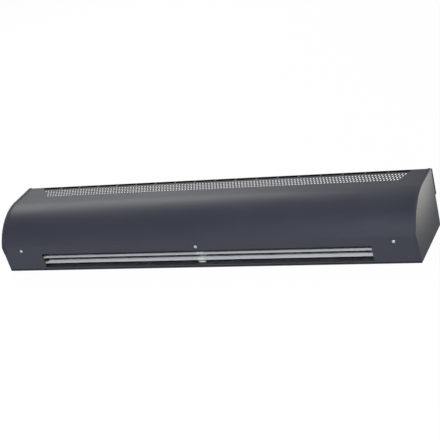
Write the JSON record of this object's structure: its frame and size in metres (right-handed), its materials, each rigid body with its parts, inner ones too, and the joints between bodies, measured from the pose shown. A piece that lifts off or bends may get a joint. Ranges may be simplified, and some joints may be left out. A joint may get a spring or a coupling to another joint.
{
  "type": "air curtain",
  "caption": "Long sheet-metal air curtain of D-shaped section with a perforated intake, a slotted outlet with fixed vanes and a cross-flow fan inside.",
  "frame": {"origin": "centre of the flat mounting side, halfway along the casing", "axes": "+X along the casing, -Y towards the side with the outlet slot, +Z away from the flat mounting side"},
  "size_m": [1.07, 0.1988, 0.1442],
  "materials": {
    "casing_paint": "satin anthracite powder coat",
    "grille_paint": "matt black powder coat",
    "zinc_sheet": "bright zinc plate",
    "vane_aluminium": "satin anodised",
    "shaft_steel": "ground",
    "impeller_aluminium": "mill finish",
    "motor_paint": "satin black",
    "black_rubber": "matt",
    "bronze": "plain",
    "pale_resin": "matt",
    "clip_resin": "satin",
    "element_steel": "dark oxidised",
    "dark_resin": "matt"
  },
  "bodies": {
    "casing": {"front_cover": "casing_paint", "base_tray": "casing_paint", "rear_intake_grille": "grille_paint", "scroll_housing": "zinc_sheet", "vortex_tongue": "zinc_sheet", "vane_comb": "clip_resin", "bearing_bush": "bronze", "bearing_holder": "black_rubber", "motor_body": "motor_paint", "motor_bracket": "zinc_sheet", "heater_element_front": "element_steel", "heater_element_rear": "element_steel", "heater_bracket_left": "zinc_sheet", "heater_bracket_right": "zinc_sheet", "terminal_block": "pale_resin", "motor_capacitor": "dark_resin", "heater_relay": "dark_resin", "thermal_cutout": "zinc_sheet", "earth_stud": "bronze", "cable_grommet": "black_rubber", "end_panel_left": "casing_paint", "bulkhead_left": "zinc_sheet", "cover_bracket_left": "zinc_sheet", "vane_cap_upper_left": "pale_resin", "vane_cap_lower_left": "pale_resin", "end_panel_right": "casing_paint", "bulkhead_right": "zinc_sheet", "cover_bracket_right": "zinc_sheet", "vane_cap_upper_right": "pale_resin", "vane_cap_lower_right": "pale_resin", "outlet_vane_upper": "vane_aluminium", "outlet_vane_lower": "vane_aluminium", "cover_screw_left": "zinc_sheet", "cover_screw_centre": "zinc_sheet", "cover_screw_right": "zinc_sheet", "grille_screw_1": "zinc_sheet", "grille_screw_2": "zinc_sheet", "grille_screw_3": "zinc_sheet", "grille_screw_4": "zinc_sheet"},
    "rotor": {"impeller": "impeller_aluminium", "drive_coupling": "black_rubber", "motor_shaft": "shaft_steel", "idler_shaft": "shaft_steel"}
  },
  "joints": [
    {"name": "impeller_spin", "type": "hinge", "parent": "casing", "child": "rotor", "pos_m": [0, 0.00469, 0.072], "axis": [1, 0, 0], "continuous": true}
  ]
}
